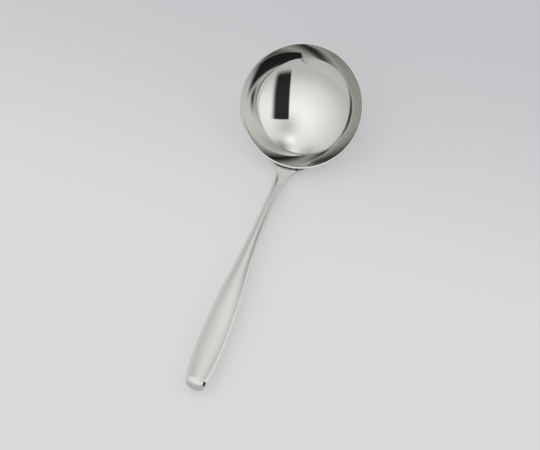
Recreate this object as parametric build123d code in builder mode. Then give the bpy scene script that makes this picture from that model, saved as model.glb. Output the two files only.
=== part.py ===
from build123d import *
import os
from math import cos, radians, sin

os.makedirs("parts", exist_ok=True)

# Soup ladle lying at rest on its bowl and on the tip of its hanging hook.
# +Z is up, +Y runs from the handle towards the bowl, and the table is z = 0.
# Lengths are in millimetres and angles in degrees.

# Bowl of pressed sheet: a shallow spherical bottom, then a tighter shoulder up to the rim
bottom_radius = 60.0
bottom_slope = 36.9
shoulder_radius = 24.4
rim_slope = 82.0
sheet = 1.3
rim_round = 0.45
bowl_tip = 35.0

# Handle strip: run from the bowl to the fold, height over the table, widest half width
handle_run = 191.7
arch_height = 15.0
panel_half_width = 10.2
strip_thickness = 2.6
crown_height = 0.65
margin_width = 1.9
margin_drop = 0.75
edge_ease = 0.35

# Root of the handle, wrapped round the outside of the bowl below the rim
root_half_width = 15.5
root_bend = 39.0

# Hanging hook: inner radius of the fold, its turn, and the rounding of the tip's corners
hook_inner_radius = 3.6
hook_turn = 115.0
hook_corner = 3.5

# Weld between the bowl and the root: the seam it fills, its skin, and its height along the wall
weld_seam = 0.5
weld_thickness = 0.4
weld_length = 10.8
weld_slope = 29.0

# The bowl's centres follow from the bowl resting on the table
outer_bottom = bottom_radius + sheet
outer_shoulder = shoulder_radius + sheet
bottom_rise = bottom_radius * (1 - cos(radians(bottom_slope)))
shoulder_rise = shoulder_radius * (cos(radians(bottom_slope)) - cos(radians(rim_slope)))
bowl_depth = bottom_rise + shoulder_rise
shoulder_out = (bottom_radius - shoulder_radius) * sin(radians(bottom_slope))
shoulder_lift = shoulder_radius * cos(radians(rim_slope))
tip_sin = sin(radians(bowl_tip))
tip_cos = cos(radians(bowl_tip))
rim_z = outer_bottom - (bottom_radius - bowl_depth) * tip_cos

# Distances along Y from the rim centre put the origin in the middle of the length
near_out = shoulder_out * tip_cos + shoulder_lift * tip_sin
far_reach = shoulder_out * tip_cos - shoulder_lift * tip_sin + outer_shoulder
leave_reach = near_out + outer_shoulder * sin(radians(root_bend))
hook_outer_radius = hook_inner_radius + strip_thickness
near_reach = leave_reach + handle_run + hook_outer_radius
rim_y = (near_reach - far_reach) / 2
rim_centre = (0, rim_y, rim_z)
bowl_axis = (0, -tip_sin, tip_cos)
bowl_profile = Plane(origin=rim_centre, x_dir=(1, 0, 0), z_dir=(0, -tip_cos, -tip_sin))
wall_y = rim_y - near_out
wall_z = rim_z - shoulder_out * tip_sin + shoulder_lift * tip_cos
leave_z = wall_z - outer_shoulder * cos(radians(root_bend))

# Bowl
with BuildPart() as bowl:
    with BuildSketch(bowl_profile):
        with BuildLine():
            inner_low = JernArc((0, -bowl_depth), (1, 0), bottom_radius, bottom_slope)
            inner_high = JernArc(inner_low @ 1, inner_low % 1, shoulder_radius, rim_slope - bottom_slope)
            outer_low = JernArc((0, -bowl_depth - sheet), (1, 0), outer_bottom, bottom_slope)
            outer_high = JernArc(outer_low @ 1, outer_low % 1, outer_shoulder, rim_slope - bottom_slope)
            Line(inner_high @ 1, outer_high @ 1)
            Line((0, -bowl_depth), (0, -bowl_depth - sheet))
        make_face()
    revolve(axis=Axis(rim_centre, bowl_axis))
    rim_edges = bowl.faces().sort_by(Axis(rim_centre, bowl_axis))[-1].edges().filter_by(GeomType.CIRCLE)
    fillet(rim_edges, rim_round)
bowl.part.label = "bowl"
export_step(bowl.part, "parts/bowl.step")

# Stations of the root, lying on the outside of the bowl: angle of the strip and its half width
root_angles = [19.5, 21.5, 25.0, 29.5, 34.0, root_bend]
root_width_shares = [0.42, 0.66, 0.88, 0.98, 1.0, 0.93]
root_thickness_shares = [0.45, 0.5, 0.55, 0.6, 0.65, 0.72]

# Edge of the weld from the middle of its low end to its top corner, across and along the wall
weld_across_shares = [0, 0.40, 0.76, 0.98, 1.075, 1.06]
weld_along_shares = [0.52, 0.49, 0.36, 0.12, -0.18, -0.45]

# Stations of the free strip: run from the bowl, height of the rise, angle, half width and thickness
run_shares = [0.0086, 0.0178, 0.038, 0.068, 0.103, 0.138, 0.176, 0.217, 0.262, 0.3, 0.338, 0.378, 0.418,
              0.464, 0.51, 0.547, 0.585, 0.623, 0.661, 0.7, 0.742, 0.78, 0.817, 0.86, 0.903, 0.95, 0.975,
              1.0]
rise_shares = [0.0706, 0.1138, 0.1895, 0.3083, 0.438, 0.5569, 0.665, 0.7676, 0.8595, 0.9189, 0.9622,
              0.9892, 1.0, 1.0, 0.9892, 0.973, 0.9514, 0.9243, 0.8919, 0.8595, 0.8217, 0.7914, 0.7622,
              0.7385, 0.7223, 0.7125, 0.7093, 0.7082]
strip_angles = [22.0, 12.8, 10.8, 10.5, 9.8, 8.6, 7.4, 6.2, 4.9, 3.7, 2.5, 1.3, 0.4, -0.3, -0.9, -1.5,
              -2.0, -2.3, -2.5, -2.6, -2.5, -2.3, -2.0, -1.5, -0.9, -0.4, -0.1, 0.0]
flare_shares = [0.56, 0.35, 0.17, 0.06, 0.02, 0, 0, 0, 0, 0, 0, 0, 0, 0, 0, 0, 0, 0, 0, 0, 0, 0, 0, 0, 0,
              0, 0, 0]
width_shares = [0.149, 0.174, 0.251, 0.33, 0.347, 0.343, 0.328, 0.333, 0.338, 0.36, 0.384, 0.425, 0.471,
              0.537, 0.598, 0.67, 0.755, 0.833, 0.882, 0.919, 0.941, 0.966, 0.982, 0.985, 0.961, 0.912,
              0.863, 0.784]
thickness_shares = [0.85, 1.0, 1.1, 1.15, 1.15, 1.15, 1.15, 1.14, 1.12, 1.11, 1.1, 1.09, 1.08, 1.07, 1.05,
              1.03, 1.01, 1.0, 1.0, 1.0, 1.0, 1.0, 1.0, 1.0, 1.0, 1.0, 1.0, 1.0]
crown_shares = [-1.1, -0.25, 0.2, 0.45, 0.55, 0.6, 0.6, 0.6, 0.6, 0.62, 0.65, 0.68, 0.7, 0.75, 0.8, 0.85,
              0.9, 0.95, 1.0, 1.0, 1.0, 1.0, 1.0, 1.0, 1.0, 1.0, 1.0, 1.0]
margin_shares = [0.4, 0.4, 0.4, 0.42, 0.45, 0.47, 0.5, 0.52, 0.55, 0.57, 0.6, 0.65, 0.7, 0.75, 0.8, 0.85,
              0.9, 0.95, 1.0, 1.0, 1.0, 1.0, 1.0, 1.0, 1.0, 1.0, 1.0, 1.0]

# Stations of the fold of the hook: turn and half width
fold_shares = [0, 0.2, 0.4, 0.6, 0.8, 1]
fold_width_shares = [1, 0.965, 0.895, 0.81, 0.74, 0.7]

# Each station is one plane and the sizes of the outline drawn on it
stations = []
for angle, width_share, thickness_share in zip(root_angles, root_width_shares, root_thickness_shares):
    out = outer_shoulder * sin(radians(angle))
    down = outer_shoulder * cos(radians(angle))
    place = Plane(
        origin=(0, wall_y - out, wall_z - down),
        x_dir=(1, 0, 0),
        z_dir=(0, -cos(radians(angle)), sin(radians(angle))),
    )
    half_width = root_half_width * width_share
    turn = sin(radians(angle + bowl_tip))
    wrap = half_width * half_width * turn / (2 * (shoulder_out + outer_shoulder * turn))
    thick = strip_thickness * thickness_share
    margin = margin_width * margin_shares[0]
    hollow = wrap * (1 - margin / half_width) ** 2
    stations.append((place, half_width, thick, -hollow, wrap, margin, hollow - wrap, weld_seam))
for i, run_share in enumerate(run_shares):
    angle = strip_angles[i]
    place = Plane(
        origin=(0, rim_y - leave_reach - handle_run * run_share, leave_z + (arch_height - leave_z) * rise_shares[i]),
        x_dir=(1, 0, 0),
        z_dir=(0, -cos(radians(angle)), sin(radians(angle))),
    )
    half_width = root_half_width * flare_shares[i] + panel_half_width * width_shares[i]
    thick = strip_thickness * thickness_shares[i]
    crown = crown_height * crown_shares[i]
    under = max(-crown, 0)
    margin = margin_width * margin_shares[i]
    stations.append((place, half_width, thick, crown, under, margin, margin_drop * margin_shares[i], 0))

# Fold and leg of the hook carry the outline of the last station on, and the fold narrows it
end_place, end_half_width, thick, crown, under, margin, drop, seam = stations[-1]
fold_y = end_place.origin.Y
fold_z = end_place.origin.Z - hook_outer_radius
fold_stations = []
for fold_share, width_share in zip(fold_shares, fold_width_shares):
    turned = radians(hook_turn * fold_share)
    place = Plane(
        origin=(0, fold_y - hook_outer_radius * sin(turned), fold_z + hook_outer_radius * cos(turned)),
        x_dir=(1, 0, 0),
        z_dir=(0, -cos(turned), -sin(turned)),
    )
    fold_stations.append((place, end_half_width * width_share, thick, crown, under, margin, drop, seam))
leg_place, tip_half_width = fold_stations[-1][:2]
hook_leg = leg_place.origin.Z / sin(radians(hook_turn))
tip_end = Plane(origin=leg_place.origin + leg_place.z_dir * hook_leg, x_dir=(1, 0, 0), z_dir=leg_place.z_dir)
leg_stations = [fold_stations[-1], (tip_end, tip_half_width, thick, crown, under, margin, drop, seam)]
tip_face = Plane(origin=tip_end.origin, x_dir=(1, 0, 0), z_dir=-leg_place.y_dir)

# Handle: the strip is lofted from the root to the fold, then folded over and down as a hook
with BuildPart() as handle:
    for run in (stations, fold_stations, leg_stations):
        for place, half_width, thick, crown, under, margin, drop, seam in run:
            with BuildSketch(place):
                with BuildLine():
                    flat = half_width - margin
                    top = -seam - crown
                    low = under - thick
                    Bezier((-flat, top), (0, crown - seam), (flat, top))
                    Polyline((flat, top), (half_width, top - drop), (half_width, low + edge_ease))
                    Line((half_width, low + edge_ease), (half_width - edge_ease, low))
                    Bezier((half_width - edge_ease, low), (0, -2 * thick - low), (edge_ease - half_width, low))
                    Line((edge_ease - half_width, low), (-half_width, low + edge_ease))
                    Polyline((-half_width, low + edge_ease), (-half_width, top - drop), (-flat, top))
                make_face()
        loft()
    with BuildSketch(tip_face):
        Rectangle(2 * end_half_width, 2 * hook_corner)
        RectangleRounded(
            2 * tip_half_width, 4 * hook_corner, hook_corner, align=(Align.CENTER, Align.MAX), mode=Mode.SUBTRACT
        )
    extrude(amount=2 * strip_thickness, both=True, mode=Mode.SUBTRACT)
handle.part.label = "handle"
export_step(handle.part, "parts/handle.step")

# Weld: a skin of the bowl's own curve between the bowl and the root, a little wider than the root
weld_place = Plane(
    origin=(
        0,
        wall_y - outer_shoulder * sin(radians(weld_slope)),
        wall_z - outer_shoulder * cos(radians(weld_slope)),
    ),
    x_dir=(1, 0, 0),
    z_dir=(0, sin(radians(weld_slope)), cos(radians(weld_slope))),
)
weld_edge = [
    (root_half_width * across, weld_length * along)
    for across, along in zip(weld_across_shares, weld_along_shares)
]
weld_edge = [(-x, y) for x, y in weld_edge[:0:-1]] + weld_edge
with BuildPart() as weld:
    with BuildSketch(bowl_profile):
        with BuildLine():
            skin_low = JernArc((0, -bowl_depth - sheet), (1, 0), outer_bottom, bottom_slope)
            skin_high = JernArc(skin_low @ 1, skin_low % 1, outer_shoulder, rim_slope - bottom_slope)
            cover_foot = (0, -bowl_depth - sheet - weld_thickness)
            cover_low = JernArc(cover_foot, (1, 0), outer_bottom + weld_thickness, bottom_slope)
            cover_high = JernArc(
                cover_low @ 1, cover_low % 1, outer_shoulder + weld_thickness, rim_slope - bottom_slope
            )
            Line(skin_high @ 1, cover_high @ 1)
            Line((0, -bowl_depth - sheet), cover_foot)
        make_face()
    revolve(axis=Axis(rim_centre, bowl_axis))
    with BuildSketch(weld_place):
        with BuildLine():
            weld_curve = Spline(weld_edge)
            Line(weld_curve @ 1, weld_curve @ 0)
        make_face()
    extrude(amount=root_half_width / 2, both=True, mode=Mode.INTERSECT)
weld.part.label = "weld"
export_step(weld.part, "parts/weld.step")
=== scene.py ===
from math import atan2, cos, pi, radians, sin

import bmesh
import bpy
from mathutils import Matrix, Vector


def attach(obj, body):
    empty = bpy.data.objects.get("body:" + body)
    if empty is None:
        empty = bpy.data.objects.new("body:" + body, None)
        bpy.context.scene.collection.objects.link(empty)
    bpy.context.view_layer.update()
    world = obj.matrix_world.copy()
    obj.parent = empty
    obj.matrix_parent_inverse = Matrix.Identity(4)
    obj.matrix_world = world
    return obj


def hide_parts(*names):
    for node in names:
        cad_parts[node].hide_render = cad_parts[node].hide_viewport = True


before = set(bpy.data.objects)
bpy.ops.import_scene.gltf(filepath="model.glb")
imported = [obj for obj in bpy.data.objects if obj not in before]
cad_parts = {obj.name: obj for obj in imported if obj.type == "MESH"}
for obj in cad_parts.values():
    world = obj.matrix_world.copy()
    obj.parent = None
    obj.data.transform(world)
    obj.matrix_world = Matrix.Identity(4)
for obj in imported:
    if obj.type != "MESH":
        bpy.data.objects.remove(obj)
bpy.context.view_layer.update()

bl_info = {
    "name": "Soup ladle",
    "version": (1, 0, 0),
    "blender": (4, 5, 0),
    "location": "View3D > Sidebar > Ladle",
    "description": "Builds a polished soup ladle with a satin strip handle over its packed frame",
    "category": "Add Mesh",
}

# Stations along the handle, from the root on the bowl to the fold of the hook.
# Root: slope of the strip, share of the root's half width, share of the strip's thickness.
ROOT_STATIONS = [
    (19.5, 0.42, 0.45),
    (21.5, 0.66, 0.5),
    (25.0, 0.88, 0.55),
    (29.5, 0.98, 0.6),
    (34.0, 1.0, 0.65),
    (39.0, 0.93, 0.72),
]
# Free strip: run, rise, slope, root's flare, half width, thickness, crown and margin, the slope in degrees.
STRIP_STATIONS = [
    (0.0086, 0.0706, 22.0, 0.56, 0.149, 0.85, -1.1, 0.4),
    (0.0178, 0.1138, 12.8, 0.35, 0.174, 1.0, -0.25, 0.4),
    (0.038, 0.1895, 10.8, 0.17, 0.251, 1.1, 0.2, 0.4),
    (0.068, 0.3083, 10.5, 0.06, 0.33, 1.15, 0.45, 0.42),
    (0.103, 0.438, 9.8, 0.02, 0.347, 1.15, 0.55, 0.45),
    (0.138, 0.5569, 8.6, 0, 0.343, 1.15, 0.6, 0.47),
    (0.176, 0.665, 7.4, 0, 0.328, 1.15, 0.6, 0.5),
    (0.217, 0.7676, 6.2, 0, 0.333, 1.14, 0.6, 0.52),
    (0.262, 0.8595, 4.9, 0, 0.338, 1.12, 0.6, 0.55),
    (0.3, 0.9189, 3.7, 0, 0.36, 1.11, 0.62, 0.57),
    (0.338, 0.9622, 2.5, 0, 0.384, 1.1, 0.65, 0.6),
    (0.378, 0.9892, 1.3, 0, 0.425, 1.09, 0.68, 0.65),
    (0.418, 1.0, 0.4, 0, 0.471, 1.08, 0.7, 0.7),
    (0.464, 1.0, -0.3, 0, 0.537, 1.07, 0.75, 0.75),
    (0.51, 0.9892, -0.9, 0, 0.598, 1.05, 0.8, 0.8),
    (0.547, 0.973, -1.5, 0, 0.67, 1.03, 0.85, 0.85),
    (0.585, 0.9514, -2.0, 0, 0.755, 1.01, 0.9, 0.9),
    (0.623, 0.9243, -2.3, 0, 0.833, 1.0, 0.95, 0.95),
    (0.661, 0.8919, -2.5, 0, 0.882, 1.0, 1.0, 1.0),
    (0.7, 0.8595, -2.6, 0, 0.919, 1.0, 1.0, 1.0),
    (0.742, 0.8217, -2.5, 0, 0.941, 1.0, 1.0, 1.0),
    (0.78, 0.7914, -2.3, 0, 0.966, 1.0, 1.0, 1.0),
    (0.817, 0.7622, -2.0, 0, 0.982, 1.0, 1.0, 1.0),
    (0.86, 0.7385, -1.5, 0, 0.985, 1.0, 1.0, 1.0),
    (0.903, 0.7223, -0.9, 0, 0.961, 1.0, 1.0, 1.0),
    (0.95, 0.7125, -0.4, 0, 0.912, 1.0, 1.0, 1.0),
    (0.975, 0.7093, -0.1, 0, 0.863, 1.0, 1.0, 1.0),
    (1.0, 0.7082, 0.0, 0, 0.784, 1.0, 1.0, 1.0),
]
# Stations of the free strip that belong to the polished neck.
NECK_STATIONS = 4
# Rings drawn between two stations, round the fold of the hook and along its leg.
STATION_STEPS = 6
FOLD_STEPS = 36
LEG_STEPS = 12
# Spans across the crowned panel.
PANEL_SPANS = 16
# Half widths round the fold of the hook, as shares of the half width at its start.
FOLD_WIDTHS = [(1,), (0.965,), (0.895,), (0.81,), (0.74,), (0.7,)]


# Finishes, as lowest and highest roughness, height of the grain and strength of its bump.
BOWL_FINISH = (0.015, 0.05, 0.0001, 0.02)
SATIN_FINISH = (0.15, 0.24, 0.00002, 0.15)
MARGIN_FINISH = (0.025, 0.07, 0.00005, 0.03)
WELD_FINISH = (0.10, 0.22, 0.0001, 0.2)

# Soft lamps and dark corners of the room, as azimuth, elevation, spread and strength, the angles in degrees.
# Azimuth 0 lies in front of the ladle, beyond its hook, and azimuth 90 to its right.
ROOM_LAMPS = [
    (-8, 72, 48, 0.68),
    (-177, 72, 8, 0.5),
    (-163, 56, 7, 0.35),
    (85, 35, 35, 0.3),
]
ROOM_CORNERS = [
    (80, 79, 17, 0.42),
    (170, 57, 11, 0.6),
    (-137, 47, 9, 0.3),
    (-152, 31, 4, 0.85),
]

# Edges of the dark strip, as the values at which it starts and is full: near side, far side, end and foot.
STRIP_NEAR = (-0.035, 0.0)
STRIP_FAR = (0.56, 0.42)
STRIP_END = (0.235, 0.275)
STRIP_FOOT = (0.0, 0.2)
STRIP_NEAR_LEAN = 0.13
STRIP_FAR_BEND = 0.22
STRIP_END_SLANT = 0.1
STRIP_DARKNESS = 0.97

# Edges of the dark zone that shows only after two or more mirrorings.
DEEP_NEAR = (-0.16, -0.12)
DEEP_FAR = (0.58, 0.42)
DEEP_FOOT = (0.0, 0.08)
DEEP_TOP = (0.70, 0.58)
DEEP_MIRRORINGS = (2.4, 2.6)

# Height over which the room's light fades to its level at the floor.
HORIZON_FADE = (0.0, 0.5)

# Darkest spots of that zone, for a camera and its stand, as azimuth, elevation, spread and strength.
DEEP_CORNERS = [
    (20.5, 51, 8, 1.0),
    (5, 65, 8, 0.9),
    (44, 48, 6, 1.0),
]


def length_property(name, description, default):
    return bpy.props.FloatProperty(
        name=name,
        description=description,
        default=default,
        min=0,
        subtype="DISTANCE",
        unit="LENGTH",
        precision=5,
    )


def angle_property(name, description, degrees):
    return bpy.props.FloatProperty(
        name=name, description=description, default=radians(degrees), subtype="ANGLE", unit="ROTATION"
    )


def colour_property(name, description, default):
    return bpy.props.FloatVectorProperty(
        name=name, description=description, default=default, size=3, min=0, max=1, subtype="COLOR"
    )


class LadleBowlSettings(bpy.types.PropertyGroup):
    bottom_radius: length_property("Bottom radius", "Inner radius of the bowl's shallow bottom", 0.060)
    bottom_slope: angle_property("Bottom slope", "Slope at which the bottom meets the shoulder", 36.9)
    shoulder_radius: length_property("Shoulder radius", "Radius of the shoulder, inside the sheet", 0.0244)
    rim_slope: angle_property("Rim slope", "Slope of the wall at the rim", 82.0)
    sheet: length_property("Sheet", "Thickness of the pressed sheet", 0.0013)
    wall_turn: angle_property("Wall turn", "How far the inner wall curves between its foot and the rim", 17.0)
    rim_round: length_property("Rim rounding", "Radius on both edges of the rim", 0.00062)
    tip: angle_property("Tip", "How far the bowl tips towards the handle", 35.0)
    colour: colour_property("Steel", "Colour of the polished sheet", (0.62, 0.615, 0.60))


class LadleHandleSettings(bpy.types.PropertyGroup):
    run: length_property("Run", "Length from the bowl to the fold of the hook", 0.1917)
    arch_height: length_property("Arch height", "Highest point of the strip over the table", 0.015)
    half_width: length_property("Half width", "Half the greatest width of the strip", 0.0102)
    thickness: length_property("Thickness", "Thickness in the middle of the panel", 0.0026)
    crown: length_property("Crown", "Rise of the panel's middle over its edges", 0.00065)
    margin: length_property("Margin", "Width of the bevelled margins", 0.0019)
    margin_drop: length_property("Margin drop", "Fall of the bevelled margins", 0.00075)
    edge_ease: length_property("Edge ease", "Rounding of the strip's long edges", 0.00035)
    root_half_width: length_property("Root half width", "Half the width of the root on the bowl", 0.0155)
    weld_seam: length_property("Weld seam", "Distance of the root from the bowl's wall", 0.0005)
    hook_inner_radius: length_property("Hook radius", "Inner radius of the hook's fold", 0.0036)
    hook_turn: angle_property("Hook turn", "How far the hook folds down and under", 115.0)
    hook_corner: length_property("Hook corner", "Rounding of the tip's corners", 0.0035)
    satin_colour: colour_property("Satin steel", "Colour of the satin panel", (0.57, 0.568, 0.55))
    polish_colour: colour_property("Polished steel", "Colour of margins and neck", (0.62, 0.612, 0.595))


class LadleStageSettings(bpy.types.PropertyGroup):
    floor_colour: colour_property("Floor", "Colour of the floor", (0.295, 0.296, 0.299))
    floor_far_colour: colour_property("Far floor", "Colour of the floor at the back", (0.227, 0.2305, 0.24))
    floor_near: bpy.props.FloatProperty(
        name="Floor fade start", description="Where the floor starts to darken", default=-0.05, unit="LENGTH"
    )
    floor_far: bpy.props.FloatProperty(
        name="Floor fade end", description="Where the floor is darkest", default=0.25, unit="LENGTH"
    )
    floor_glow: bpy.props.FloatProperty(
        name="Floor glow",
        description="Strength of the floor's glow for camera and mirror rays",
        default=1.4,
        min=0,
    )
    room_level: bpy.props.FloatProperty(
        name="Room light", description="Strength of the room's even light", default=0.78, min=0
    )
    horizon_level: bpy.props.FloatProperty(
        name="Horizon",
        description="Strength of the room's light where it meets the floor",
        default=0.72,
        min=0,
    )
    backdrop_level: bpy.props.FloatProperty(
        name="Backdrop", description="Tone of the backdrop that the camera sees", default=0.6, min=0
    )
    room_colour: colour_property("Room", "Colour of the room's light", (1.0, 0.995, 0.98))
    strip_azimuth: angle_property("Strip azimuth", "Where the dark strip stands in the room", 20)
    camera_azimuth: angle_property("Camera azimuth", "Camera's turn round the ladle", 21.1)
    camera_elevation: angle_property("Camera elevation", "Camera's height angle", 54.0)
    camera_roll: angle_property("Camera roll", "Lean of the picture", -2.8)
    camera_distance: length_property("Camera distance", "Distance from the bowl to the camera", 1.6)
    pixels_per_metre: bpy.props.FloatProperty(
        name="Scale",
        description="Picture scale at the bowl's rim, in pixels to the metre",
        default=1350.0,
        min=1,
    )


class Outline:
    """Sizes of the bowl that its pieces share, worked out from the settings."""

    def __init__(self, bowl, handle):
        self.depth = bowl.bottom_radius * (1 - cos(bowl.bottom_slope)) + bowl.shoulder_radius * (
            cos(bowl.bottom_slope) - cos(bowl.rim_slope)
        )
        self.shoulder_out = (bowl.bottom_radius - bowl.shoulder_radius) * sin(bowl.bottom_slope)
        self.shoulder_lift = bowl.shoulder_radius * cos(bowl.rim_slope)
        self.outer_shoulder = bowl.shoulder_radius + bowl.sheet
        self.hook_outer = handle.hook_inner_radius + handle.thickness
        tip_sin, tip_cos = sin(bowl.tip), cos(bowl.tip)
        near_out = self.shoulder_out * tip_cos + self.shoulder_lift * tip_sin
        far_reach = self.shoulder_out * tip_cos - self.shoulder_lift * tip_sin + self.outer_shoulder
        self.leave_reach = near_out + self.outer_shoulder * sin(radians(ROOT_STATIONS[-1][0]))
        self.near_reach = self.leave_reach + handle.run + self.hook_outer
        self.rim_y = (self.near_reach - far_reach) / 2
        self.rim_z = bowl.bottom_radius + bowl.sheet - (bowl.bottom_radius - self.depth) * tip_cos
        self.wall_y = self.rim_y - near_out
        self.wall_z = self.rim_z - self.shoulder_out * tip_sin + self.shoulder_lift * tip_cos
        self.leave_z = self.wall_z - self.outer_shoulder * cos(radians(ROOT_STATIONS[-1][0]))
        self.rim_centre = Vector((0, self.rim_y, self.rim_z))
        self.axis = Vector((0, -tip_sin, tip_cos))


def new_piece(name, mesh, material_slot, *replaced):
    piece = bpy.data.objects.new(name, mesh)
    bpy.context.scene.collection.objects.link(piece)
    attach(piece, "root")
    if replaced:
        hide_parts(*replaced)
    return piece


def finish_mesh(bm, name, *materials):
    bmesh.ops.remove_doubles(bm, verts=bm.verts, dist=1e-6)
    bmesh.ops.recalc_face_normals(bm, faces=bm.faces)
    mesh = bpy.data.meshes.new(name)
    bm.to_mesh(mesh)
    bm.free()
    for material in materials:
        mesh.materials.append(material)
    mesh.shade_smooth()
    return mesh


def effect_group(name, inputs, outputs):
    group = bpy.data.node_groups.new(name, "ShaderNodeTree")
    for label, kind, default in inputs:
        socket = group.interface.new_socket(name=label, in_out="INPUT", socket_type=kind)
        socket.default_value = default
    for label, kind in outputs:
        group.interface.new_socket(name=label, in_out="OUTPUT", socket_type=kind)
    return group, group.nodes.new("NodeGroupInput"), group.nodes.new("NodeGroupOutput")


def node(tree, kind, **settings):
    made = tree.nodes.new(kind)
    for key, value in settings.items():
        if key in made.inputs:
            made.inputs[key].default_value = value
        else:
            setattr(made, key, value)
    return made


def scaled_place(tree, place, stretch):
    mapping = tree.nodes.new("ShaderNodeMapping")
    mapping.inputs["Scale"].default_value = stretch
    tree.links.new(place, mapping.inputs["Vector"])
    return mapping.outputs["Vector"]


def grain_group():
    """Fine lines left by brushing along one direction, with slow patches of stronger and weaker grain."""
    group, inside, outside = effect_group(
        "brushed_grain",
        [
            ("Place", "NodeSocketVector", (0, 0, 0)),
            ("Low Roughness", "NodeSocketFloat", 0.2),
            ("High Roughness", "NodeSocketFloat", 0.3),
        ],
        [("Roughness", "NodeSocketFloat"), ("Height", "NodeSocketFloat"), ("Tint", "NodeSocketFloat")],
    )
    link = group.links.new
    fine = node(group, "ShaderNodeTexNoise", Scale=1.0, Detail=3.0, Roughness=0.6)
    link(scaled_place(group, inside.outputs["Place"], (6500, 120, 6500)), fine.inputs["Vector"])
    broad = node(group, "ShaderNodeTexNoise", Scale=1.0, Detail=2.0, Roughness=0.5)
    link(scaled_place(group, inside.outputs["Place"], (700, 18, 700)), broad.inputs["Vector"])
    slow = node(group, "ShaderNodeTexNoise", Scale=45.0, Detail=2.0, Roughness=0.5)
    link(inside.outputs["Place"], slow.inputs["Vector"])
    mixed = node(group, "ShaderNodeMix", data_type="FLOAT", Factor=0.35)
    link(fine.outputs["Fac"], mixed.inputs["A"])
    link(broad.outputs["Fac"], mixed.inputs["B"])
    spread = node(group, "ShaderNodeMapRange")
    link(mixed.outputs["Result"], spread.inputs["Value"])
    spread.inputs["From Min"].default_value = 0.3
    spread.inputs["From Max"].default_value = 0.7
    link(inside.outputs["Low Roughness"], spread.inputs["To Min"])
    link(inside.outputs["High Roughness"], spread.inputs["To Max"])
    link(spread.outputs["Result"], outside.inputs["Roughness"])
    link(mixed.outputs["Result"], outside.inputs["Height"])
    link(slow.outputs["Fac"], outside.inputs["Tint"])
    return group


def polish_group():
    """Faint wipe marks and buffing haze that a polished sheet keeps."""
    group, inside, outside = effect_group(
        "polish_haze",
        [
            ("Place", "NodeSocketVector", (0, 0, 0)),
            ("Low Roughness", "NodeSocketFloat", 0.02),
            ("High Roughness", "NodeSocketFloat", 0.06),
        ],
        [("Roughness", "NodeSocketFloat"), ("Height", "NodeSocketFloat"), ("Tint", "NodeSocketFloat")],
    )
    link = group.links.new
    haze = node(group, "ShaderNodeTexNoise", Scale=38.0, Detail=4.0, Roughness=0.55)
    link(inside.outputs["Place"], haze.inputs["Vector"])
    marks = node(group, "ShaderNodeTexNoise", Scale=1.0, Detail=2.0, Roughness=0.5)
    link(scaled_place(group, inside.outputs["Place"], (1800, 260, 900)), marks.inputs["Vector"])
    mixed = node(group, "ShaderNodeMix", data_type="FLOAT", Factor=0.3)
    link(haze.outputs["Fac"], mixed.inputs["A"])
    link(marks.outputs["Fac"], mixed.inputs["B"])
    spread = node(group, "ShaderNodeMapRange")
    link(mixed.outputs["Result"], spread.inputs["Value"])
    spread.inputs["From Min"].default_value = 0.35
    spread.inputs["From Max"].default_value = 0.65
    link(inside.outputs["Low Roughness"], spread.inputs["To Min"])
    link(inside.outputs["High Roughness"], spread.inputs["To Max"])
    link(spread.outputs["Result"], outside.inputs["Roughness"])
    link(marks.outputs["Fac"], outside.inputs["Height"])
    link(haze.outputs["Fac"], outside.inputs["Tint"])
    return group


def soft_spot_group():
    """Round patch of light or dark with a soft edge, seen in one direction of the room."""
    group, inside, outside = effect_group(
        "soft_spot",
        [
            ("Direction", "NodeSocketVector", (0, 0, 1)),
            ("Centre", "NodeSocketVector", (0, 0, 1)),
            ("Narrowness", "NodeSocketFloat", 10.0),
            ("Strength", "NodeSocketFloat", 1.0),
        ],
        [("Light", "NodeSocketFloat")],
    )
    link = group.links.new
    near = node(group, "ShaderNodeVectorMath", operation="DOT_PRODUCT")
    link(inside.outputs["Direction"], near.inputs[0])
    link(inside.outputs["Centre"], near.inputs[1])
    off = node(group, "ShaderNodeMath", operation="SUBTRACT")
    link(near.outputs["Value"], off.inputs[0])
    off.inputs[1].default_value = 1.0
    fall = node(group, "ShaderNodeMath", operation="MULTIPLY")
    link(off.outputs[0], fall.inputs[0])
    link(inside.outputs["Narrowness"], fall.inputs[1])
    glow = node(group, "ShaderNodeMath", operation="EXPONENT")
    link(fall.outputs[0], glow.inputs[0])
    light = node(group, "ShaderNodeMath", operation="MULTIPLY")
    link(glow.outputs[0], light.inputs[0])
    link(inside.outputs["Strength"], light.inputs[1])
    link(light.outputs[0], outside.inputs["Light"])
    return group


def steel_material(name, colour, group, low, high, bump_distance, bump_strength):
    material = bpy.data.materials.new(name)
    material.use_nodes = True
    tree = material.node_tree
    link = tree.links.new
    shader = tree.nodes["Principled BSDF"]
    shader.inputs["Metallic"].default_value = 1.0
    place = tree.nodes.new("ShaderNodeTexCoord")
    effect = tree.nodes.new("ShaderNodeGroup")
    effect.node_tree = group
    effect.inputs["Low Roughness"].default_value = low
    effect.inputs["High Roughness"].default_value = high
    link(place.outputs["Object"], effect.inputs["Place"])
    link(effect.outputs["Roughness"], shader.inputs["Roughness"])
    tint = node(tree, "ShaderNodeMix", data_type="RGBA")
    link(effect.outputs["Tint"], tint.inputs["Factor"])
    tint.inputs[6].default_value = (*(c * 0.96 for c in colour), 1)
    tint.inputs[7].default_value = (*(min(c * 1.04, 1) for c in colour), 1)
    link(tint.outputs[2], shader.inputs["Base Color"])
    bump = node(tree, "ShaderNodeBump", Strength=bump_strength, Distance=bump_distance)
    link(effect.outputs["Height"], bump.inputs["Height"])
    link(bump.outputs["Normal"], shader.inputs["Normal"])
    return material


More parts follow.
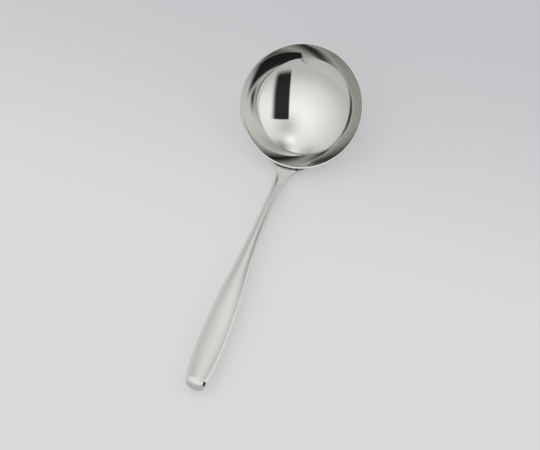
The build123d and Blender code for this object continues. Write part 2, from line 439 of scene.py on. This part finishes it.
class LADLE_OT_bowl(bpy.types.Operator):
    """Spin the polished bowl from its profile"""

    bl_idname = "ladle.bowl"
    bl_label = "Bowl"

    def execute(self, context):
        bowl = context.scene.ladle_bowl
        outline = Outline(bowl, context.scene.ladle_handle)
        bm = bmesh.new()
        spin_axis = Vector((0, 1, 0))
        shoulder_centre = Vector((outline.shoulder_out, 0, outline.shoulder_lift))
        bottom_centre = Vector((0, 0, bowl.bottom_radius - outline.depth))

        def arc(start, centre, angle, steps):
            grown = bmesh.ops.spin(
                bm, geom=[start], cent=centre, axis=spin_axis, angle=-angle, steps=steps, use_duplicate=False
            )
            return [v for v in grown["geom_last"] if isinstance(v, bmesh.types.BMVert)][0]

        wall_slope = bowl.rim_slope - bowl.bottom_slope
        inner = bm.verts.new((0, 0, -outline.depth))
        inner = arc(inner, bottom_centre, bowl.bottom_slope, 36)
        top_slope = bowl.rim_slope - bowl.rim_round / bowl.shoulder_radius
        wall_top = shoulder_centre + Vector((sin(top_slope), 0, -cos(top_slope))) * bowl.shoulder_radius
        chord = wall_top - inner.co
        foot_slope = atan2(chord.z, chord.x) - bowl.wall_turn / 2
        wall_radius = chord.length / (2 * sin(bowl.wall_turn / 2))
        wall_centre = inner.co + Vector((-sin(foot_slope), 0, cos(foot_slope))) * wall_radius
        inner = arc(inner, wall_centre, bowl.wall_turn, 44)
        outer = bm.verts.new((0, 0, -outline.depth - bowl.sheet))
        outer = arc(outer, bottom_centre, bowl.bottom_slope, 24)
        outer_turn = bowl.rim_round / outline.outer_shoulder
        outer = arc(outer, shoulder_centre, wall_slope - outer_turn, 30)
        out_direction = Vector((sin(bowl.rim_slope), 0, -cos(bowl.rim_slope)))
        in_direction = (inner.co - wall_centre).normalized()
        in_round = inner.co + in_direction * bowl.rim_round
        inner = arc(inner, in_round, in_direction.angle(out_direction) - radians(90), 8)
        out_round = outer.co - out_direction * bowl.rim_round
        outer = arc(outer, out_round, radians(90), 8)
        bm.edges.new((inner, outer))
        bmesh.ops.spin(
            bm,
            geom=bm.verts[:] + bm.edges[:],
            cent=(0, 0, 0),
            axis=(0, 0, 1),
            angle=2 * pi,
            steps=256,
            use_merge=True,
        )
        place = Matrix.Translation(outline.rim_centre) @ Matrix.Rotation(bowl.tip, 4, "X")
        bmesh.ops.transform(bm, matrix=place, verts=bm.verts)
        haze = bpy.data.node_groups["polish_haze"]
        material = steel_material("polished_bowl_steel", bowl.colour, haze, *BOWL_FINISH)
        mesh = finish_mesh(bm, "polished_bowl", material)
        new_piece("polished_bowl", mesh, "bowl_steel", "bowl")
        return {"FINISHED"}


def smooth_row(rows, t):
    """Values of the rows of sizes at t, on a smooth curve led by the rows."""
    i = min(int(t), len(rows) - 2)
    f = t - i
    before = rows[i - 1] if i else [2 * a - b for a, b in zip(rows[0], rows[1])]
    after = rows[i + 2] if i + 2 < len(rows) else [2 * b - a for a, b in zip(rows[-2], rows[-1])]
    weights = (
        (1 - f) ** 3 / 6,
        (3 * f**3 - 6 * f**2 + 4) / 6,
        (-3 * f**3 + 3 * f**2 + 3 * f + 1) / 6,
        f**3 / 6,
    )
    return [sum(w * v for w, v in zip(weights, four)) for four in zip(before, rows[i], rows[i + 1], after)]


def strip_ring(half_width, thick, crown, under, margin, drop, seam, ease):
    """Points across the strip: crowned panel, bevelled margins, sides and underside."""
    flat = half_width - margin
    top = -seam - crown
    low = under - thick
    points = []
    for k in range(PANEL_SPANS + 1):
        s = k / PANEL_SPANS
        points.append(((2 * s - 1) * flat, top + 4 * s * (1 - s) * crown))
    points += [(flat + margin * 0.3, top - drop * 0.3), (flat + margin * 0.7, top - drop * 0.7)]
    points += [(half_width - ease * 0.4, top - drop + ease * 0.05), (half_width, top - drop - ease * 0.35)]
    middle = (top - drop + low) / 2
    points += [(half_width, middle), (half_width, low + ease), (half_width - ease * 0.3, low + ease * 0.3)]
    wide = half_width - ease
    for k in range(11):
        s = k / 10
        points.append(((1 - 2 * s) * wide, low - 4 * s * (1 - s) * (thick + low)))
    points += [(ease * 0.3 - half_width, low + ease * 0.3), (-half_width, low + ease), (-half_width, middle)]
    points += [(-half_width, top - drop - ease * 0.35), (ease * 0.4 - half_width, top - drop + ease * 0.05)]
    points += [(-flat - margin * 0.7, top - drop * 0.7), (-flat - margin * 0.3, top - drop * 0.3)]
    return points


class LADLE_OT_handle(bpy.types.Operator):
    """Draw the handle ring by ring from its root to the tip of the hook"""

    bl_idname = "ladle.handle"
    bl_label = "Handle"

    def rows(self, bowl, handle, outline):
        rows = []
        for slope, width_share, thickness_share in ROOT_STATIONS:
            half = handle.root_half_width * width_share
            turn = sin(radians(slope) + bowl.tip)
            wrap = half * half * turn / (2 * (outline.shoulder_out + outline.outer_shoulder * turn))
            y = outline.wall_y - outline.outer_shoulder * sin(radians(slope))
            z = outline.wall_z - outline.outer_shoulder * cos(radians(slope))
            thick = handle.thickness * thickness_share
            margin = handle.margin * STRIP_STATIONS[0][-1]
            hollow = wrap * (1 - margin / half) ** 2
            rows.append([y, z, slope, half, thick, -hollow, wrap, margin, hollow - wrap, handle.weld_seam])
        for station in STRIP_STATIONS:
            run, rise, slope, flare, width_share, thickness_share, crown_share, margin_share = station
            crown = handle.crown * crown_share
            rows.append(
                [
                    outline.rim_y - outline.leave_reach - handle.run * run,
                    outline.leave_z + (handle.arch_height - outline.leave_z) * rise,
                    slope,
                    handle.root_half_width * flare + handle.half_width * width_share,
                    handle.thickness * thickness_share,
                    crown,
                    max(-crown, 0),
                    handle.margin * margin_share,
                    handle.margin_drop * margin_share,
                    0,
                ]
            )
        return rows

    def execute(self, context):
        bowl = context.scene.ladle_bowl
        handle = context.scene.ladle_handle
        outline = Outline(bowl, handle)
        rows = self.rows(bowl, handle, outline)
        rings = []
        for k in range((len(rows) - 1) * STATION_STEPS + 1):
            y, z, slope, *sizes = smooth_row(rows, k / STATION_STEPS)
            matrix = Matrix.Translation((0, y, z)) @ Matrix.Rotation(radians(-slope), 4, "X")
            rings.append((matrix, sizes))
        end_matrix, end_sizes = rings[-1]
        fold_centre = Vector((0, end_matrix.translation.y, end_matrix.translation.z - outline.hook_outer))
        for k in range(1, FOLD_STEPS + 1):
            turn = handle.hook_turn * k / FOLD_STEPS
            spin = Matrix.Translation(fold_centre) @ Matrix.Rotation(turn, 4, "X")
            spin = spin @ Matrix.Translation(-fold_centre)
            width_share = smooth_row(FOLD_WIDTHS, (len(FOLD_WIDTHS) - 1) * k / FOLD_STEPS)[0]
            rings.append((spin @ end_matrix, [end_sizes[0] * width_share, *end_sizes[1:]]))
        end_sizes = rings[-1][1]
        leg_matrix = rings[-1][0]
        leg_direction = leg_matrix.to_3x3() @ Vector((0, -1, 0))
        leg = (fold_centre.z + outline.hook_outer * cos(handle.hook_turn)) / sin(handle.hook_turn)
        for k in range(1, LEG_STEPS + 1):
            rounded = 1 - sin(radians(90) * k / LEG_STEPS) if k > 1 else 1
            reach = leg - handle.hook_corner * rounded
            short = handle.hook_corner - (leg - reach)
            cut = handle.hook_corner - (handle.hook_corner**2 - short**2) ** 0.5 if short > 0 else 0
            sizes = [end_sizes[0] - cut, *end_sizes[1:]]
            rings.append((Matrix.Translation(leg_direction * reach) @ leg_matrix, sizes))

        bm = bmesh.new()
        count = len(strip_ring(*end_sizes, handle.edge_ease))
        bmesh.ops.create_circle(bm, segments=count, radius=1)
        bm.verts.ensure_lookup_table()
        ring = bm.verts[:]
        first = ring[:]
        sections = []
        for k, (matrix, sizes) in enumerate(rings):
            if k:
                loop = [bm.edges.get((a, b)) for a, b in zip(ring, ring[1:] + ring[:1])]
                grown = bmesh.ops.extrude_edge_only(bm, edges=loop)["geom"]
                fresh = [v for v in grown if isinstance(v, bmesh.types.BMVert)]
                fresh = set(fresh)
                ring = [next(e.other_vert(v) for e in v.link_edges if e.other_vert(v) in fresh) for v in ring]
            for vert, (u, v) in zip(ring, strip_ring(*sizes, handle.edge_ease)):
                vert.co = matrix @ Vector((u, 0, v))
            sections.append(ring)
        bmesh.ops.contextual_create(bm, geom=first)
        bmesh.ops.contextual_create(bm, geom=ring)
        for face in bm.faces:
            face.material_index = 1
        satin_start = (len(ROOT_STATIONS) + NECK_STATIONS) * STATION_STEPS
        for lower, upper in zip(sections[satin_start:], sections[satin_start + 1 :]):
            for k in range(PANEL_SPANS):
                between = set(lower[k].link_faces) & set(lower[k + 1].link_faces) & set(upper[k].link_faces)
                for face in between:
                    face.material_index = 0
        grain = bpy.data.node_groups["brushed_grain"]
        polish = bpy.data.node_groups["polish_haze"]
        satin = steel_material("satin_panel_steel", handle.satin_colour, grain, *SATIN_FINISH)
        bright = steel_material("polished_margin_steel", handle.polish_colour, polish, *MARGIN_FINISH)
        mesh = finish_mesh(bm, "strip_handle", satin, bright)
        mesh.set_sharp_from_angle(angle=radians(24))
        new_piece("strip_handle", mesh, "handle_steel", "handle")
        return {"FINISHED"}


class LADLE_OT_weld(bpy.types.Operator):
    """Finish the weld between the bowl and the handle's root"""

    bl_idname = "ladle.weld"
    bl_label = "Weld"

    def execute(self, context):
        handle = context.scene.ladle_handle
        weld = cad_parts["weld"]
        haze = bpy.data.node_groups["polish_haze"]
        material = steel_material("ground_weld_steel", handle.polish_colour, haze, *WELD_FINISH)
        weld.data.materials.clear()
        weld.data.materials.append(material)
        return {"FINISHED"}


class LADLE_OT_stage(bpy.types.Operator):
    """Lay the floor, hang the lights and stand the camera"""

    bl_idname = "ladle.stage"
    bl_label = "Stage"

    def room(self, scene, stage):
        """Pale room with soft lamps, dark corners and a dark strip. The camera sees a plain backdrop."""
        world = bpy.data.worlds.new("studio_room")
        scene.world = world
        world.use_nodes = True
        tree = world.node_tree
        link = tree.links.new
        place = tree.nodes.new("ShaderNodeTexCoord").outputs["Generated"]

        def dot(direction):
            made = node(tree, "ShaderNodeVectorMath", operation="DOT_PRODUCT")
            link(place, made.inputs[0])
            made.inputs[1].default_value = direction
            return made.outputs["Value"]

        def math(operation, a, b):
            made = node(tree, "ShaderNodeMath", operation=operation)
            for value, socket in zip((a, b), made.inputs):
                if isinstance(value, (int, float)):
                    socket.default_value = value
                else:
                    link(value, socket)
            return made.outputs[0]

        def step(value, low, high):
            made = node(tree, "ShaderNodeMapRange", interpolation_type="SMOOTHSTEP")
            link(value, made.inputs["Value"])
            made.inputs["From Min"].default_value = low
            made.inputs["From Max"].default_value = high
            return made.outputs["Result"]

        def mix(factor, a, b):
            made = node(tree, "ShaderNodeMix", data_type="FLOAT")
            link(factor, made.inputs["Factor"])
            link(a, made.inputs["A"])
            link(b, made.inputs["B"])
            return made.outputs["Result"]

        def spot(azimuth, elevation, spread, strength):
            made = tree.nodes.new("ShaderNodeGroup")
            made.node_tree = bpy.data.node_groups["soft_spot"]
            link(place, made.inputs["Direction"])
            made.inputs["Centre"].default_value = self.direction(radians(azimuth), radians(elevation))
            made.inputs["Narrowness"].default_value = 1 / (1 - cos(radians(spread)))
            made.inputs["Strength"].default_value = strength
            return made.outputs["Light"]

        level = stage.room_level
        for lamp in ROOM_LAMPS:
            level = math("ADD", spot(*lamp), level)
        for corner in ROOM_CORNERS:
            level = math("MULTIPLY", level, math("SUBTRACT", 1, spot(*corner)))
        height = dot((0, 0, 1))
        horizon = tree.nodes.new("ShaderNodeValue").outputs[0]
        horizon.default_value = stage.horizon_level
        level = mix(step(height, *HORIZON_FADE), horizon, level)
        turn = stage.strip_azimuth
        across = dot((cos(turn), sin(turn), 0))
        along = dot((sin(turn), -cos(turn), 0))
        near_edge = math("SUBTRACT", across, math("MULTIPLY", height, STRIP_NEAR_LEAN))
        short = math("SUBTRACT", 1, height)
        bend = math("MULTIPLY", math("MULTIPLY", short, short), STRIP_FAR_BEND)
        far_edge = math("ADD", across, bend)
        end_edge = math("ADD", along, math("MULTIPLY", across, STRIP_END_SLANT))
        strip = math("MULTIPLY", step(near_edge, *STRIP_NEAR), step(far_edge, *STRIP_FAR))
        strip = math("MULTIPLY", strip, step(end_edge, *STRIP_END))
        strip = math("MULTIPLY", strip, step(height, *STRIP_FOOT))
        camera_side = math("MULTIPLY", step(across, *DEEP_NEAR), step(across, *DEEP_FAR))
        camera_height = math("MULTIPLY", step(height, *DEEP_FOOT), step(height, *DEEP_TOP))
        camera_side = math("MULTIPLY", camera_side, camera_height)
        for corner in DEEP_CORNERS:
            camera_side = math("MAXIMUM", camera_side, spot(*corner))
        path = tree.nodes.new("ShaderNodeLightPath")
        strip = mix(step(path.outputs["Ray Depth"], *DEEP_MIRRORINGS), strip, camera_side)
        lit = math("SUBTRACT", 1, math("MULTIPLY", strip, STRIP_DARKNESS))
        level = math("MULTIPLY", level, lit)
        plain = tree.nodes.new("ShaderNodeValue").outputs[0]
        plain.default_value = stage.backdrop_level
        level = mix(path.outputs["Is Camera Ray"], level, plain)
        background = tree.nodes["Background"]
        background.inputs["Color"].default_value = (*stage.room_colour, 1)
        link(level, background.inputs["Strength"])

    def floor_card(self, stage):
        """Pale card, darker at the back, with a glow for camera and mirror rays that no shadow darkens."""
        material = bpy.data.materials.new("floor_card")
        material.use_nodes = True
        tree = material.node_tree
        link = tree.links.new
        shader = tree.nodes["Principled BSDF"]
        parts = tree.nodes.new("ShaderNodeSeparateXYZ")
        link(tree.nodes.new("ShaderNodeTexCoord").outputs["Object"], parts.inputs["Vector"])
        away = node(tree, "ShaderNodeMapRange", interpolation_type="SMOOTHSTEP")
        link(parts.outputs["Y"], away.inputs["Value"])
        away.inputs["From Min"].default_value = stage.floor_near
        away.inputs["From Max"].default_value = stage.floor_far
        tone = node(tree, "ShaderNodeMix", data_type="RGBA")
        link(away.outputs["Result"], tone.inputs["Factor"])
        tone.inputs[6].default_value = (*stage.floor_colour, 1)
        tone.inputs[7].default_value = (*stage.floor_far_colour, 1)
        link(tone.outputs[2], shader.inputs["Base Color"])
        link(tone.outputs[2], shader.inputs["Emission Color"])
        shader.inputs["Roughness"].default_value = 0.6
        shader.inputs["Specular IOR Level"].default_value = 0.2
        path = tree.nodes.new("ShaderNodeLightPath")
        seen = node(tree, "ShaderNodeMath", operation="MAXIMUM")
        link(path.outputs["Is Camera Ray"], seen.inputs[0])
        link(path.outputs["Is Glossy Ray"], seen.inputs[1])
        share = node(tree, "ShaderNodeMath", operation="MULTIPLY")
        link(seen.outputs[0], share.inputs[0])
        share.inputs[1].default_value = stage.floor_glow
        link(share.outputs[0], shader.inputs["Emission Strength"])
        return material

    def direction(self, azimuth, elevation):
        return Vector((sin(azimuth) * cos(elevation), -cos(azimuth) * cos(elevation), sin(elevation)))

    def execute(self, context):
        scene = context.scene
        stage = scene.ladle_stage
        outline = Outline(scene.ladle_bowl, scene.ladle_handle)
        scene.view_settings.view_transform = "Standard"

        bm = bmesh.new()
        bmesh.ops.create_grid(bm, x_segments=8, y_segments=8, size=6)
        mesh = finish_mesh(bm, "floor", self.floor_card(stage))
        floor = bpy.data.objects.new("floor", mesh)
        scene.collection.objects.link(floor)

        self.room(scene, stage)

        azimuth, elevation = stage.camera_azimuth, stage.camera_elevation
        back = self.direction(azimuth, elevation)
        level = Vector((cos(azimuth), sin(azimuth), 0))
        right = level * cos(stage.camera_roll) + back.cross(level) * sin(stage.camera_roll)
        up = back.cross(right)
        spot = outline.rim_centre + back * stage.camera_distance
        aim = (
            outline.rim_centre
            - right * ((301.4 - 270) / stage.pixels_per_metre)
            - up * ((225 - 105.6) / stage.pixels_per_metre)
        )
        lens = bpy.data.cameras.new("camera")
        lens.sensor_width = 36
        lens.lens = stage.pixels_per_metre * stage.camera_distance * 36 / 540
        camera = bpy.data.objects.new("camera", lens)
        scene.collection.objects.link(camera)
        camera.location = spot
        camera.rotation_mode = "QUATERNION"
        behind = (spot - aim).normalized()
        across = (right - behind * right.dot(behind)).normalized()
        facing = Matrix((across, behind.cross(across), behind)).transposed()
        camera.rotation_quaternion = facing.to_quaternion()
        scene.camera = camera
        return {"FINISHED"}


class LADLE_PT_panel(bpy.types.Panel):
    """Lists the operators that build the ladle"""

    bl_label = "Soup ladle"
    bl_idname = "LADLE_PT_panel"
    bl_space_type = "VIEW_3D"
    bl_region_type = "UI"
    bl_category = "Ladle"

    def draw(self, context):
        for operator in (LADLE_OT_bowl, LADLE_OT_handle, LADLE_OT_weld, LADLE_OT_stage):
            self.layout.operator(operator.bl_idname)


classes = (
    LadleBowlSettings,
    LadleHandleSettings,
    LadleStageSettings,
    LADLE_OT_bowl,
    LADLE_OT_handle,
    LADLE_OT_weld,
    LADLE_OT_stage,
    LADLE_PT_panel,
)


def register():
    for cls in classes:
        bpy.utils.register_class(cls)
    bpy.types.Scene.ladle_bowl = bpy.props.PointerProperty(type=LadleBowlSettings)
    bpy.types.Scene.ladle_handle = bpy.props.PointerProperty(type=LadleHandleSettings)
    bpy.types.Scene.ladle_stage = bpy.props.PointerProperty(type=LadleStageSettings)


def unregister():
    del bpy.types.Scene.ladle_stage
    del bpy.types.Scene.ladle_handle
    del bpy.types.Scene.ladle_bowl
    for cls in reversed(classes):
        bpy.utils.unregister_class(cls)


def main():
    register()
    grain_group()
    polish_group()
    soft_spot_group()
    bpy.ops.ladle.stage()
    bpy.ops.ladle.bowl()
    bpy.ops.ladle.handle()
    bpy.ops.ladle.weld()


if __name__ == "__main__":
    main()
